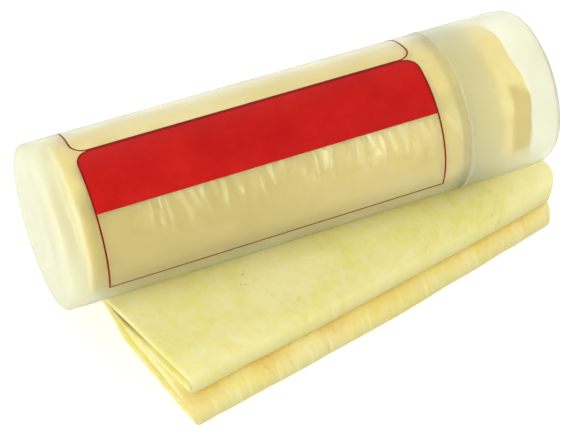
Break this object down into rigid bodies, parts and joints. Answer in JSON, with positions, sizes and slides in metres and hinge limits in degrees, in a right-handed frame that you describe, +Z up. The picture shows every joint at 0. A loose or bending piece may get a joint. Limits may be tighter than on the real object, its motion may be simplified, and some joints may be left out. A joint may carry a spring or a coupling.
{
  "type": "cleaning cloth in a tube",
  "caption": "Frosted plastic tube with a slide-on cap and a rolled synthetic chamois cleaning cloth inside, lying across a second such cloth that is folded into a flat bundle.",
  "frame": {"origin": "The middle of the whole set's footprint, at the level of the surface that the folded cloth lies on.", "axes": "+X runs along the tube from its closed base to its cap, +Y points away from the front folds of the folded cloth, +Z is up."},
  "size_m": [0.1922, 0.1512, 0.0739],
  "materials": {
    "chamois": "soft, finely pitted synthetic chamois, pale yellow",
    "frosted_plastic": "frosted, translucent, faintly green"
  },
  "bodies": {
    "cloth": {"folded_cloth": "chamois"},
    "tube": {"tube_body": "frosted_plastic"},
    "roll": {"rolled_cloth": "chamois"},
    "cap": {"tube_cap": "frosted_plastic"}
  },
  "joints": [
    {"name": "tube_lift", "type": "slide", "parent": "cloth", "child": "tube", "axis": [0, 0, 1], "range_m": [0, 0.08]},
    {"name": "roll_draw", "type": "slide", "parent": "tube", "child": "roll", "axis": [1, 0, 0], "range_m": [0, 0.16]},
    {"name": "cap_pull", "type": "slide", "parent": "roll", "child": "cap", "axis": [1, 0, 0], "range_m": [0, 0.06]}
  ]
}
